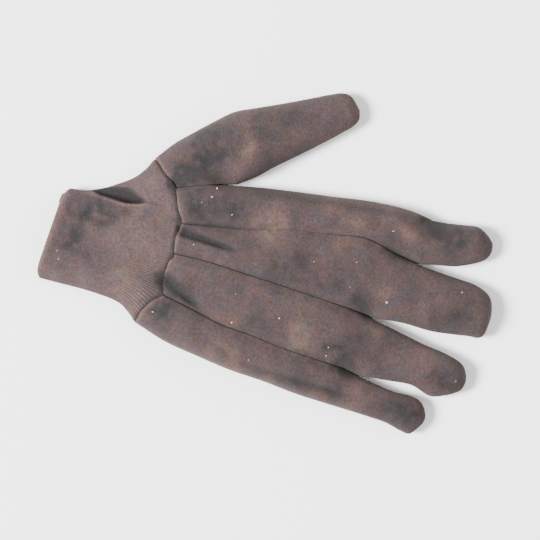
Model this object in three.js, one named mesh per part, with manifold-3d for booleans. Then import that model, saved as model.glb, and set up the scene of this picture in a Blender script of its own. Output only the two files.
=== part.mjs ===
// Right-hand cotton jersey work glove with a knitted wrist, lying empty with its back up.
// Millimetres. +X runs from the wrist opening to the fingertips, +Y towards the thumb, +Z up.
// The origin is the middle of the glove's outline, on the surface that it lies on.
//
// Five pieces of cloth: the knitted wrist; a palm that wraps round both sides of the hand, so
// that it also makes the backs of the index and little fingers; two back strips, for the middle
// and ring fingers; and a thumb. Sewn edges meet with a small gap, so each piece stays a solid.
import * as THREE from "three";
import Module from "manifold-3d";

// Lengths and widths, seen from above
const WRIST_LENGTH = 71.5; // knitted wrist, from its opening to the seam at the back's middle
const WRIST_WIDTH = 55.5; // across the opening
const WRIST_OFFSET = 1.1; // the opening's middle lies this far to the thumb side
const OPENING_SKEW = 4; // the opening's thumb side lies this much further in than the other
const OPENING_CORNER = 2; // rounding of the opening's two corners
const HAND_LENGTH = 124; // wrist seam to the crotch between the middle and ring fingers
const HAND_WIDTH = 120; // across the knuckles
const INDEX_CROTCH_ADVANCE = 17.5; // the index finger's crotch lies this much further out
const INDEX_SEAM_SETBACK = 9; // the wrist seam curves back at the index finger's side
const LITTLE_SEAM_SETBACK = 11.5; // and at the little finger's side
const THUMB_LENGTH = 82; // from the thumb's crotch
const THUMB_WIDTH = 41;
const THUMB_ANGLE = 32.7; // degrees out from the hand
const THUMB_SEAM = 0.23; // share of the hand's index side that the thumb is sewn to

// Heights of the stuffed shapes above the surface
const WRIST_HEIGHT = 19;
const HAND_HEIGHT = 22;
const THUMB_HEIGHT = 21;
const PARTING_HEIGHT = 6.5; // where the back's cloth meets the palm's, at the free edges

// Cloth and sewing
const JERSEY = 2; // fleecy jersey cloth
const KNIT = 2.4; // doubled rib knit
const SEAM_GAP = 0.3;
const WRIST_SEAM_GAP = 0.5;
const CROTCH_GAP = 0.8; // between neighbouring fingers where they part
const JOIN = 0.2; // how far the faces of one piece of cloth run into each other
const SEAM_VALLEY = 0.16; // share of the height that the back dips at a seam
const SEAM_VALLEY_WIDTH = 4;
const WRIST_SEAM_DIP = 0.2; // the same, where the cloth turns down to the wrist seam
const WRIST_SEAM_DIP_LENGTH = 5;
const BACK_ROUNDING = 15; // how far in from a free edge the back is rounded
const PALM_ROUNDING = 8;
const ROUNDNESS = 2.2; // exponent of that rounding: 2 is a quarter of an ellipse
const TIP_ROUNDING = 13;

// The lines that divide the hand, from the wrist seam to the finger roots. The five lines are
// shares of HAND_WIDTH, and crown is a share of HAND_HEIGHT.
const HAND = [
  { at: 0, indexSide: 0.371, seam1: 0.212, seam2: 0.062, seam3: -0.144, littleSide: -0.312, crown: 0.8 },
  { at: 0.15, indexSide: 0.437, seam1: 0.244, seam2: 0.067, seam3: -0.175, littleSide: -0.365, crown: 0.9 },
  { at: 0.3, indexSide: 0.479, seam1: 0.275, seam2: 0.06, seam3: -0.21, littleSide: -0.393, crown: 0.97 },
  { at: 0.45, indexSide: 0.507, seam1: 0.321, seam2: 0.052, seam3: -0.223, littleSide: -0.417, crown: 1 },
  { at: 0.6, indexSide: 0.532, seam1: 0.346, seam2: 0.043, seam3: -0.243, littleSide: -0.428, crown: 1 },
  { at: 0.75, indexSide: 0.558, seam1: 0.375, seam2: 0.033, seam3: -0.254, littleSide: -0.446, crown: 0.97 },
  { at: 0.9, indexSide: 0.565, seam1: 0.339, seam2: 0.022, seam3: -0.263, littleSide: -0.454, crown: 0.9 },
  { at: 1, indexSide: 0.548, seam1: 0.322, seam2: 0.007, seam3: -0.281, littleSide: -0.458, crown: 0.82 },
];
const SETBACK = { indexSide: INDEX_SEAM_SETBACK, littleSide: LITTLE_SEAM_SETBACK };
const ADVANCE = { indexSide: INDEX_CROTCH_ADVANCE, seam1: INDEX_CROTCH_ADVANCE };

// Fingers. lean is the tip's sideways shift as a share of the length, and bulge is how far the
// strip's end bows over the wrist seam. In each outline, at is a share of the length, and left
// and right are shares of the width at the root, from the finger's own axis.
const FINGERS = [
  {
    name: "index", left: "indexSide", right: "seam1", length: 38.5, height: 15.5, lean: 0.123, bulge: 0.4,
    outline: [
      { at: 0.0, left: 0.5, right: -0.5 },
      { at: 0.25, left: 0.484, right: -0.479 },
      { at: 0.5, left: 0.496, right: -0.456 },
      { at: 0.7, left: 0.496, right: -0.378 },
      { at: 0.85, left: 0.374, right: -0.285 },
      { at: 0.94, left: 0.244, right: -0.204 },
      { at: 0.985, left: 0.15, right: -0.096 },
      { at: 1.0, left: 0, right: 0 },
    ],
  },
  {
    name: "middle", left: "seam1", right: "seam2", length: 56.75, height: 17, lean: -0.015, bulge: 1,
    outline: [
      { at: 0.0, left: 0.5, right: -0.5 },
      { at: 0.25, left: 0.479, right: -0.458 },
      { at: 0.5, left: 0.462, right: -0.462 },
      { at: 0.7, left: 0.445, right: -0.418 },
      { at: 0.85, left: 0.382, right: -0.375 },
      { at: 0.94, left: 0.284, right: -0.355 },
      { at: 0.985, left: 0.132, right: -0.251 },
      { at: 1.0, left: 0, right: 0 },
    ],
  },
  {
    name: "ring", left: "seam2", right: "seam3", length: 61, height: 15.5, lean: -0.072, bulge: 2,
    outline: [
      { at: 0.0, left: 0.5, right: -0.5 },
      { at: 0.25, left: 0.444, right: -0.437 },
      { at: 0.5, left: 0.383, right: -0.371 },
      { at: 0.7, left: 0.359, right: -0.444 },
      { at: 0.85, left: 0.316, right: -0.337 },
      { at: 0.94, left: 0.241, right: -0.229 },
      { at: 0.985, left: 0.113, right: -0.133 },
      { at: 1.0, left: 0, right: 0 },
    ],
  },
  {
    name: "little", left: "seam3", right: "littleSide", length: 43.5, height: 14, lean: -0.082, bulge: 2.5,
    outline: [
      { at: 0.0, left: 0.5, right: -0.5 },
      { at: 0.25, left: 0.457, right: -0.481 },
      { at: 0.5, left: 0.433, right: -0.476 },
      { at: 0.7, left: 0.471, right: -0.543 },
      { at: 0.85, left: 0.448, right: -0.543 },
      { at: 0.94, left: 0.31, right: -0.295 },
      { at: 0.985, left: 0.138, right: -0.138 },
      { at: 1.0, left: 0, right: 0 },
    ],
  },
];

// The thumb's outer side at its root: along is a share of THUMB_LENGTH from its crotch, and left
// a share of THUMB_WIDTH from its axis. crown is a share of THUMB_HEIGHT.
const THUMB_ROOT = [
  { at: 0.0, along: -0.5, left: 0.24, crown: 0.76 },
  { at: 0.33, along: -0.335, left: 0.36, crown: 0.84 },
  { at: 0.67, along: -0.17, left: 0.43, crown: 0.92 },
  { at: 1.0, along: -0.017, left: 0.487, crown: 0.96 },
];
// The free thumb: at is a share of THUMB_LENGTH, left and right are shares of THUMB_WIDTH.
const THUMB = [
  { at: 0.0, left: 0.487, right: -0.487, crown: 0.96 },
  { at: 0.15, left: 0.53, right: -0.463, crown: 1 },
  { at: 0.3, left: 0.488, right: -0.398, crown: 0.97 },
  { at: 0.5, left: 0.43, right: -0.341, crown: 0.9 },
  { at: 0.7, left: 0.38, right: -0.276, crown: 0.82 },
  { at: 0.85, left: 0.344, right: -0.22, crown: 0.76 },
  { at: 0.93, left: 0.305, right: -0.18, crown: 0.72 },
  { at: 0.98, left: 0.2, right: -0.11, crown: 0.7 },
  { at: 1.0, left: 0, right: 0, crown: 0.7 },
];

// The knitted wrist, from its opening to the wrist seam. thumbFlare and littleFlare say how far
// each side has spread from the opening's width to the seam's. fold says how far the spread on
// the thumb side has sunk behind a crease, and crown is a share of WRIST_HEIGHT.
const WRIST = [
  { at: 0.0, thumbFlare: 0, littleFlare: 0, fold: 0, crown: 1 },
  { at: 0.2, thumbFlare: 0.04, littleFlare: 0, fold: 0.3, crown: 0.93 },
  { at: 0.4, thumbFlare: 0.156, littleFlare: -0.01, fold: 1, crown: 0.88 },
  { at: 0.6, thumbFlare: 0.327, littleFlare: 0.03, fold: 1, crown: 0.84 },
  { at: 0.8, thumbFlare: 0.54, littleFlare: 0.18, fold: 0.6, crown: 0.79 },
  { at: 0.93, thumbFlare: 0.78, littleFlare: 0.62, fold: 0.1, crown: 0.75 },
  { at: 1.0, thumbFlare: 1, littleFlare: 1, fold: 0, crown: 0.75 },
];
const FOLD_HEIGHT = 11; // the spread lies this high behind the crease
const FOLD_SLOPE = 4; // width over which the wrist drops to it

// Pleats where the strips are gathered into the wrist seam, and creases near the finger roots.
// at runs 0 to 1 along the hand and 1 to 2 along the finger; across runs from -1, the right edge,
// to 1, the left. width and depth are millimetres.
const FOLDS = [
  { strip: "middle", at: 0.0, across: 0.66, toAt: 0.25, toAcross: 0.05, width: 2.6, depth: 3.2 },
  { strip: "ring", at: 0.0, across: -0.24, toAt: 0.19, toAcross: -0.7, width: 3, depth: 2.6 },
  { strip: "index", at: 0.78, across: 0.05, toAt: 1.0, toAcross: -0.55, width: 4, depth: 1.8 },
  { strip: "middle", at: 0.86, across: -0.5, toAt: 1.0, toAcross: -0.9, width: 3, depth: 2.4 },
  { strip: "ring", at: 0.8, across: -0.3, toAt: 0.97, toAcross: -0.55, width: 3, depth: 1.6 },
  { strip: "little", at: 0.6, across: -0.35, toAt: 1.25, toAcross: -0.3, width: 4, depth: 1.2 },
];

const { lerp, smoothstep, degToRad } = THREE.MathUtils;
const point = (x, y) => new THREE.Vector2(x, y);
const between = (a, b, share) => a.clone().lerp(b, share);

// A table's column at any share, on a smooth curve through its rows.
function read(rows, name, at) {
  const last = rows.length - 1;
  const found = rows.findIndex((row) => row.at >= at);
  const next = found < 0 ? last : Math.max(found, 1);
  const slope = (k) => {
    const before = rows[Math.max(k - 1, 0)];
    const after = rows[Math.min(k + 1, last)];
    return (after[name] - before[name]) / (after.at - before.at);
  };
  const [a, b] = [rows[next - 1], rows[next]];
  const span = b.at - a.at;
  const t = THREE.MathUtils.clamp((at - a.at) / span, 0, 1);
  const [t2, t3] = [t * t, t * t * t];
  return (
    (2 * t3 - 3 * t2 + 1) * a[name] +
    (t3 - 2 * t2 + t) * span * slope(next - 1) +
    (3 * t2 - 2 * t3) * b[name] +
    (t3 - t2) * span * slope(next)
  );
}

// 0 at an edge, with an upright start, and 1 from radius inwards.
const rounded = (distance, radius) =>
  (1 - (1 - THREE.MathUtils.clamp(distance / radius, 0, 1)) ** ROUNDNESS) ** (1 / ROUNDNESS);

// A point on one of the hand's dividing lines.
function border(name, at) {
  const start = WRIST_LENGTH - (SETBACK[name] ?? 0);
  const end = WRIST_LENGTH + HAND_LENGTH + (ADVANCE[name] ?? 0);
  return point(lerp(start, end, at), HAND_WIDTH * read(HAND, name, at));
}

// How free a side of the hand is: 0 where it is sewn to its neighbour, 1 where it is an edge.
// Two fingers' edges sink together from PARTING_START on, and part from CROTCH_START on.
const PARTING_START = 0.82;
const CROTCH_START = 0.96;
function freedom(name, at) {
  if (name === "littleSide") return 1;
  if (name === "indexSide") return smoothstep(at, THUMB_SEAM / 2, THUMB_SEAM);
  return smoothstep(at, PARTING_START, 1);
}

// A strip runs from the wrist seam, s = 0, over the finger's root, s = 1, to its tip, s = 2. It
// gives its two edges, its height and how free each side is, at any s. inset is how far a sewn
// edge stops short of the line that it shares: negative where both sides are one cloth.
function fingerStrip(finger) {
  const edge = (name, side, s, inset) => {
    const away = name === "littleSide" ? 0 : lerp(inset, CROTCH_GAP / 2, smoothstep(s, CROTCH_START, 1));
    return border(name, s).add(point(0, -side * away));
  };
  const rootLeft = edge(finger.left, 1, 1, 0);
  const rootRight = edge(finger.right, -1, 1, 0);
  const root = between(rootLeft, rootRight, 0.5);
  const width = rootLeft.y - rootRight.y;
  const tip = root.clone().add(point(finger.length, finger.length * finger.lean));
  const fingerEdge = (column, from, s) =>
    point(
      lerp(from.x, tip.x, s - 1),
      lerp(root.y, tip.y, s - 1) + width * read(finger.outline, column, s - 1),
    );
  return {
    name: finger.name,
    length: finger.length,
    rootLength: HAND_LENGTH,
    halfWidth: width / 2,
    bulge: finger.bulge,
    left: (s, inset) => (s < 1 ? edge(finger.left, 1, s, inset) : fingerEdge("left", rootLeft, s)),
    right: (s, inset) => (s < 1 ? edge(finger.right, -1, s, inset) : fingerEdge("right", rootRight, s)),
    height: (s) =>
      lerp(HAND_HEIGHT * read(HAND, "crown", Math.min(s, 1)), finger.height, smoothstep(s, 0.75, 1.3)),
    freeLeft: (s) => freedom(finger.left, Math.min(s, 1)),
    freeRight: (s) => freedom(finger.right, Math.min(s, 1)),
  };
}

function thumbStrip() {
  const crotch = border("indexSide", THUMB_SEAM);
  const along = point(Math.cos(degToRad(THUMB_ANGLE)), Math.sin(degToRad(THUMB_ANGLE)));
  const out = point(-along.y, along.x);
  const halfWidth = THUMB_WIDTH * THUMB[0].left;
  const root = crotch.clone().addScaledVector(out, halfWidth);
  const at = (share, sideways) =>
    root.clone().addScaledVector(along, THUMB_LENGTH * share).addScaledVector(out, THUMB_WIDTH * sideways);
  const freeRight = (s) => smoothstep(s, 0.5, 1);
  const rootLeft = (s) => at(read(THUMB_ROOT, "along", s), read(THUMB_ROOT, "left", s));
  const rootRight = (s, inset) =>
    border("indexSide", THUMB_SEAM * s).add(point(0, lerp(inset, CROTCH_GAP, freeRight(s))));
  // The free outline starts exactly where the root ends, and is the table's from 0.3 on.
  const leftStep = rootLeft(1).sub(at(0, THUMB[0].left));
  const rightStep = rootRight(1, 0).sub(at(0, THUMB[0].right));
  const free = (column, step, s) =>
    at(s - 1, read(THUMB, column, s - 1)).addScaledVector(step, 1 - smoothstep(s, 1, 1.3));
  return {
    name: "thumb",
    length: THUMB_LENGTH,
    rootLength: -THUMB_LENGTH * THUMB_ROOT[0].along,
    halfWidth,
    bulge: 0,
    left: (s) => (s < 1 ? rootLeft(s) : free("left", leftStep, s)),
    right: (s, inset) => (s < 1 ? rootRight(s, inset) : free("right", rightStep, s)),
    height: (s) =>
      THUMB_HEIGHT * (s < 1 ? read(THUMB_ROOT, "crown", s) : read(THUMB, "crown", s - 1)),
    freeLeft: () => 1,
    freeRight: (s) => freeRight(s),
  };
}

const strips = Object.fromEntries([...FINGERS.map(fingerStrip), thumbStrip()].map((s) => [s.name, s]));

// How far a strip's end bows over the wrist seam, at across = -1 to 1.
const BULGE_REACH = 0.12;
const wristBulge = (strip, s, across) =>
  strip.bulge * (1 - across * across) * (1 - smoothstep(s, 0, BULGE_REACH));

// Depth of the pleats and creases at a place on a strip's back.
function foldDepth(strip, s, across, halfWidth) {
  let depth = 0;
  for (const fold of FOLDS.filter((row) => row.strip === strip.name)) {
    const share = (s - fold.at) / (fold.toAt - fold.at);
    const off = (across - lerp(fold.across, fold.toAcross, share)) * halfWidth;
    const taper = smoothstep(share, -0.25, 0.1) * (1 - smoothstep(share, 0.6, 1.1));
    depth += fold.depth * taper * Math.exp(-((off / fold.width) ** 2));
  }
  return depth;
}

// One point of a strip's cloth, outside and inside. face is 1 on the back and -1 on the palm.
function stripPoint(strip, face, edges, s, across) {
  const left = strip.left(s, edges.insetLeft);
  const right = strip.right(s, edges.insetRight);
  const centre = between(left, right, 0.5);
  const halfWidth = left.distanceTo(right) / 2;
  const free = { left: strip.freeLeft(s), right: strip.freeRight(s) };
  const radius = face > 0 ? BACK_ROUNDING : PALM_ROUNDING;
  const valley = face > 0 ? SEAM_VALLEY : 0;
  const side = (distance, freeness) =>
    lerp(1 - valley * Math.exp(-((distance / SEAM_VALLEY_WIDTH) ** 2)), rounded(distance, radius), freeness);
  const tip = s > 1 ? rounded((2 - s) * strip.length, TIP_ROUNDING) : 1;
  const fromLeft = side((1 - across) * halfWidth, free.left);
  const fromRight = side((1 + across) * halfWidth, free.right);
  const fill = fromLeft * fromRight * tip;
  const level = PARTING_HEIGHT + face * lerp(edges.liftRight, edges.liftLeft, (1 + across) / 2);
  const reach = face > 0 ? strip.height(s) - level : level;
  let rise = reach * fill;
  if (face > 0) {
    rise *= 1 - WRIST_SEAM_DIP * Math.exp(-(s * strip.rootLength) / WRIST_SEAM_DIP_LENGTH);
    rise -= Math.min(foldDepth(strip, s, across, halfWidth), 0.4 * rise);
  }
  const outer = between(centre, left, across).add(point(-wristBulge(strip, s, across), 0));

  // The inside is the same shape, smaller by the cloth's thickness at the crown and free edges.
  const shrink = (JERSEY * (across > 0 ? free.left : free.right)) / Math.max(strip.halfWidth, halfWidth);
  const back = s > 1 ? 1 + (s - 1) * (1 - JERSEY / strip.length) : s;
  const setBack = between(strip.left(back, edges.insetLeft), strip.right(back, edges.insetRight), 0.5);
  const inner = setBack.addScaledVector(outer.clone().sub(centre), 1 - shrink);
  const innerRise = rise * (1 - JERSEY / reach);
  return {
    outer: new THREE.Vector3(outer.x, outer.y, level + face * rise),
    inner: new THREE.Vector3(inner.x, inner.y, level + face * innerRise),
  };
}

// The wrist seam, from the thumb's outer side to the little finger's, in even parts of each strip.
const SPAN_COLUMNS = 4;
const wristSeam = ["thumb", "index", "middle", "ring", "little"].flatMap((name) => {
  const strip = strips[name];
  const count = name === "little" ? SPAN_COLUMNS + 1 : SPAN_COLUMNS;
  return Array.from({ length: count }, (_, k) => {
    const across = 1 - (2 * k) / SPAN_COLUMNS;
    const share = (1 + across) / 2;
    const bow = point(-wristBulge(strip, 0, across) - WRIST_SEAM_GAP, 0);
    return between(strip.right(0, 0), strip.left(0, 0), share).add(bow);
  });
});

function wristPlace(s, across, seam) {
  const share = (1 + across) / 2;
  const opening = point(
    OPENING_SKEW * (share - 0.5) + OPENING_CORNER * across ** 10,
    WRIST_OFFSET + (WRIST_WIDTH / 2) * across,
  );
  const flares = [read(WRIST, "littleFlare", s), read(WRIST, "thumbFlare", s)];
  const flare = lerp(...flares, smoothstep(across, -1, 1));
  return point(lerp(opening.x, seam.x, s), lerp(opening.y, seam.y, flare));
}

function wristPoint(face, s, across, seam) {
  const outer = wristPlace(s, across, seam);
  const left = wristPlace(s, 1, wristSeam[0]);
  const right = wristPlace(s, -1, wristSeam.at(-1));
  const radius = face > 0 ? BACK_ROUNDING : PALM_ROUNDING;
  const fill = rounded(left.y - outer.y, radius) * rounded(outer.y - right.y, radius);
  const level = PARTING_HEIGHT - face * JOIN;
  const crease = WRIST_OFFSET + WRIST_WIDTH / 2;
  const sunk = read(WRIST, "fold", s) * smoothstep(outer.y, crease - FOLD_SLOPE, crease);
  const height = lerp(WRIST_HEIGHT * read(WRIST, "crown", s), FOLD_HEIGHT, sunk);
  const reach = face > 0 ? height - level : level;
  const middle = (left.y + right.y) / 2;
  const keep = 1 - (2 * KNIT) / (left.y - right.y);
  return {
    outer: new THREE.Vector3(outer.x, outer.y, level + face * reach * fill),
    inner: new THREE.Vector3(outer.x, lerp(middle, outer.y, keep), level + face * (reach - KNIT) * fill),
  };
}

// Closed cloth from a grid of outer points and the inner points behind them. A last row of one
// point is a tip. The rim between the two faces follows the grid's edge.
function clothGeometry(grid, face) {
  const columns = grid[0].length;
  const index = (row, column) => row * columns + (grid[row].length === 1 ? 0 : column);
  const outside = [];
  const add = (a, b, c) => {
    if (b !== c) outside.push(face > 0 ? [a, b, c] : [a, c, b]);
  };
  for (let row = 0; row < grid.length - 1; row++) {
    for (let column = 0; column < columns - 1; column++) {
      const [a, b] = [index(row, column), index(row, column + 1)];
      const [c, d] = [index(row + 1, column + 1), index(row + 1, column)];
      add(a, b, c);
      add(a, c, d);
    }
  }
  const points = grid.flat();
  const behind = points.length;
  const edges = new Set(outside.flatMap(([a, b, c]) => [`${a},${b}`, `${b},${c}`, `${c},${a}`]));
  const rim = [...edges]
    .map((edge) => edge.split(",").map(Number))
    .filter(([a, b]) => !edges.has(`${b},${a}`))
    .flatMap(([a, b]) => [[b, a, behind + a], [b, behind + a, behind + b]]);
  const inside = outside.map(([a, b, c]) => [behind + a, behind + c, behind + b]);
  const both = [...points.map((p) => p.outer), ...points.map((p) => p.inner)];
  return new THREE.BufferGeometry()
    .setAttribute("position", new THREE.Float32BufferAttribute(both.flatMap((p) => [p.x, p.y, p.z]), 3))
    .setIndex([...outside, ...rim, ...inside].flat());
}

// Places across a face from its left edge, 1, to its right edge, -1, closer near the edges.
const acrossPlaces = (count) =>
  Array.from({ length: count + 1 }, (_, k) => {
    const even = 1 - (2 * k) / count;
    return lerp(even, Math.sin((even * Math.PI) / 2), 0.7);
  });

const HAND_ROWS = [0, 0.04, 0.1, 0.19, 0.31, 0.46, 0.6, 0.72, 0.82, 0.9, 0.96];
const THUMB_ROOT_ROWS = [0, 0.15, 0.32, 0.5, 0.67, 0.84];
const FREE_ROWS = [1, 1.1, 1.25, 1.45, 1.65, 1.8, 1.9, 1.96, 1.99, 2];
const WRIST_ROWS = [0, 0.15, 0.3, 0.45, 0.6, 0.75, 0.88, 1];
const COLUMNS = { back: 12, palm: 8 };

const wasm = await Module();
wasm.setup();

function solidOf(geometry) {
  const vertProperties = geometry.attributes.position.array;
  const triVerts = new Uint32Array(geometry.index.array);
  return new wasm.Manifold(new wasm.Mesh({ numProp: 3, vertProperties, triVerts }));
}

// One face of a strip: which is "back" or "palm".
function stripFace(name, which, edges) {
  const strip = strips[name];
  const face = which === "back" ? 1 : -1;
  const rows = [...(name === "thumb" ? THUMB_ROOT_ROWS : HAND_ROWS), ...FREE_ROWS];
  const places = acrossPlaces(COLUMNS[which]);
  const row = (s) => (s === 2 ? [0] : places).map((across) => stripPoint(strip, face, edges, s, across));
  return solidOf(clothGeometry(rows.map(row), face));
}

function wristFace(face) {
  const places = acrossPlaces(wristSeam.length - 1);
  const grid = WRIST_ROWS.map((s) => places.map((across, k) => wristPoint(face, s, across, wristSeam[k])));
  return solidOf(clothGeometry(grid, face));
}

// Sewn edges stop short of their neighbour, and joined ones run into it. insets are sideways,
// lifts are up or down where the back's cloth meets the palm's.
const SEWN = SEAM_GAP / 2;
const sewnBack = { insetLeft: SEWN, insetRight: SEWN, liftLeft: SEWN, liftRight: SEWN };
const joinedBack = { insetLeft: SEWN, insetRight: SEWN, liftLeft: -JOIN, liftRight: -JOIN };
const palmMiddle = { insetLeft: -JOIN, insetRight: -JOIN, liftLeft: SEWN, liftRight: SEWN };
const palmIndex = { insetLeft: SEWN, insetRight: -JOIN, liftLeft: -JOIN, liftRight: -JOIN };
const palmLittle = { insetLeft: -JOIN, insetRight: 0, liftLeft: -JOIN, liftRight: -JOIN };

const union = (solids) => solids.reduce((sum, solid) => sum.add(solid));
const pieces = {
  knit_wrist: union([wristFace(1), wristFace(-1)]),
  palm: union([
    stripFace("index", "palm", palmIndex),
    stripFace("middle", "palm", palmMiddle),
    stripFace("ring", "palm", palmMiddle),
    stripFace("little", "palm", palmLittle),
    stripFace("index", "back", joinedBack),
    stripFace("little", "back", joinedBack),
  ]),
  middle_finger_back: stripFace("middle", "back", sewnBack),
  ring_finger_back: stripFace("ring", "back", sewnBack),
  thumb: union([stripFace("thumb", "palm", joinedBack), stripFace("thumb", "back", joinedBack)]),
};

const COLOURS = {
  knit_wrist: "#84746f",
  palm: "#75686a",
  middle_finger_back: "#746768",
  ring_finger_back: "#776b69",
  thumb: "#73686a",
};
const ROUGHNESS = 0.95;

function meshOf(name, solid) {
  const { vertProperties, triVerts } = solid.getMesh();
  const geometry = new THREE.BufferGeometry()
    .setAttribute("position", new THREE.BufferAttribute(vertProperties, 3))
    .setIndex(new THREE.BufferAttribute(triVerts, 1));
  const material = new THREE.MeshStandardMaterial({
    color: COLOURS[name],
    roughness: ROUGHNESS,
    metalness: 0,
  });
  const mesh = new THREE.Mesh(geometry, material);
  mesh.name = name;
  return mesh;
}

const group = new THREE.Group();
group.name = "cotton_work_glove";
group.add(...Object.entries(pieces).map(([name, solid]) => meshOf(name, solid)));

const middle = new THREE.Box3().setFromObject(group).getCenter(new THREE.Vector3());
for (const mesh of group.children) {
  mesh.geometry.translate(-middle.x, -middle.y, 0);
  mesh.geometry.computeVertexNormals();
}

export default group;
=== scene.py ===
"""Brown cotton jersey work glove for the right hand, empty, lying with its back up.

Five pieces of cloth: the rib-knit wrist, the palm that wraps round both sides of the hand, the
two back strips of the middle and ring fingers, and the thumb. Lengths here are millimetres in
the glove's own plan: X runs from the wrist opening to the fingertips, Y towards the thumb, and
Z up. lay() turns them into metres about the middle of the glove's outline.
"""
import math

import bpy
import numpy as np
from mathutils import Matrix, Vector, noise


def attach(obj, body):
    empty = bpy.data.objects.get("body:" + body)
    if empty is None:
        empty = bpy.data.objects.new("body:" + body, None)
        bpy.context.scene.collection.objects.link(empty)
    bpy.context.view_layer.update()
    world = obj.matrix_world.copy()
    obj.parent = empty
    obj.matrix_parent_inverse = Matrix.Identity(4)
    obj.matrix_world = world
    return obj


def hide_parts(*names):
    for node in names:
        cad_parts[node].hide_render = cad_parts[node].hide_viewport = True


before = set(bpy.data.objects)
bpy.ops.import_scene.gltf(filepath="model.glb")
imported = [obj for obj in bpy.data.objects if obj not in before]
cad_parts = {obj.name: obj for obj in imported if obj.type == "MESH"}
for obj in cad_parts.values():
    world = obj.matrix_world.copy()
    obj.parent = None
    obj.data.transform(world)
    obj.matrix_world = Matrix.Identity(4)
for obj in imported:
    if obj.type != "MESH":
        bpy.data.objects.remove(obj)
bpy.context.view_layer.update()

MM = 0.001
OUTLINE_MIDDLE = (129.81, 32.29)  # the part's origin, measured from the middle of the wrist opening


def table(columns, *rows):
    """A list of rows, each with its columns' names."""
    return [dict(zip(columns.split(), row)) for row in rows]


# Lengths and widths, seen from above
WRIST_LENGTH = 71.5
WRIST_WIDTH = 55.5
WRIST_OFFSET = 1.1
OPENING_SKEW = 4
OPENING_CORNER = 2  # how far the opening's two corners draw back
CORNER_SHARPNESS = 10
TAB_LENGTH = 2  # how far the palm side of the wrist sticks out at its thumb corner
TAB_REACH = 0.12
TAB_START, TAB_END = (17.5, 19.5), (24.5, 27)  # where it rises and falls, towards the thumb
HAND_LENGTH = 124
HAND_WIDTH = 120
SEAM_SETBACK = {"index_side": 9, "little_side": 11.5}
CROTCH_ADVANCE = {"index_side": 17.5, "seam_1": 17.5}
THUMB_LENGTH = 82
THUMB_WIDTH = 41
THUMB_ANGLE = math.radians(32.7)
THUMB_SEAM = 0.23  # how much of the index side the thumb is sewn to
THUMB_PARTING = (0.5, 1)  # where thumb and hand part, as shares of that seam
THUMB_BLEND = (1, 1.3)  # where the thumb's sewn root turns into its free outline

# Heights above the floor
WRIST_HEIGHT = 19
HAND_HEIGHT = 22
THUMB_HEIGHT = 21
PARTING_HEIGHT = 6.5  # where back and palm meet, along the free edges
CROWN_CHANGE = (0.75, 1.3)  # where a strip's height turns from the hand's to the finger's

# Cloth and sewing
JERSEY = 2
KNIT = 2.4
SEAM_INSET = 0.07  # half the gap between two sewn edges, where they roll in by 1 mm or more
WRIST_SEAM_GAP = 0.1
CROTCH_GAP = 0.8
SEAM_VALLEY = 0.16  # how much of its rise the back loses along its seams
SEAM_VALLEY_WIDTH = 4
WRIST_SEAM_DIP = 0.2
WRIST_SEAM_DIP_LENGTH = 5
BACK_ROUNDING = 15
PALM_ROUNDING = 8
ROUNDNESS = 2.2
TIP_ROUNDING = 13
FLANGE = 1.4  # how far cloth goes straight down inside a seam, after it has rolled into it
TIGHT_ROLL = 1.5  # below this radius a seam is drawn flat, and its groove is shallower
DEEPEST_ROLL = 0.8  # the most of its rise that cloth rolls down into a seam
WRIST_ROLL = 1.7  # radius of the jersey's rolled edge at the wrist seam
KNIT_ROLL = 0.5
KNIT_ALLOWANCE = 1.6  # how far the knit runs on inside the jersey
KNIT_TUCK = 0.4  # how far it is turned in there
SIDE_SEAM_ROLL = 1.1  # the groove of the seams along the sides of the fingers
SIDE_SEAM_START = (0.95, 1.05)
SIDE_SEAM_FOCUS = 6
SIDE_SEAM_LIMIT = 0.5
PARTING_START = 0.82
BULGE_REACH = 0.12

# Gathers that the stitches draw up: how deep, how far from the seam they reach, and how long
SEAM_PUCKER = 0.4
SEAM_PUCKER_REACH = 4
SEAM_PUCKER_LENGTH = 9
WRIST_PUCKER = 1.3
WRIST_PUCKER_REACH = 8
WRIST_PUCKER_LENGTH = 7.5
PUCKER_DRIFT = table("share length turn", (0.9, 1.9, 1), (0.6, 3.1, 2))  # slow waves that push them about
PUCKER_UNEVENNESS = 2.2

# Soft swells of loose cloth, and what limits them and the creases: where the cloth has risen far
# enough above its edge to be loose, and the most of its rise that it can lose
HAND_SWELLS = table("height size seed", (1.7, 30, 3.1), (0.9, 13, 7.7), (0.3, 6, 1.3))
HAND_LOOSE, HAND_DEEPEST = (0.5, 7), 0.65
WRIST_SWELLS = table("height size seed", (0.9, 24, 2.2), (0.4, 10, 6.1))
WRIST_LOOSE, WRIST_DEEPEST = (0.5, 6), 0.5

# The lines that divide the hand, as shares of HAND_WIDTH, and its crown as a share of HAND_HEIGHT
HAND = {
    "at": [0, 0.15, 0.3, 0.45, 0.6, 0.75, 0.9, 1],
    "index_side": [0.371, 0.437, 0.479, 0.507, 0.532, 0.558, 0.565, 0.548],
    "seam_1": [0.212, 0.244, 0.275, 0.321, 0.346, 0.375, 0.339, 0.322],
    "seam_2": [0.062, 0.067, 0.06, 0.052, 0.043, 0.033, 0.022, 0.007],
    "seam_3": [-0.144, -0.175, -0.21, -0.223, -0.243, -0.254, -0.263, -0.281],
    "little_side": [-0.312, -0.365, -0.393, -0.417, -0.428, -0.446, -0.454, -0.458],
    "crown": [0.8, 0.9, 0.97, 1, 1, 0.97, 0.9, 0.82],
}

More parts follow.
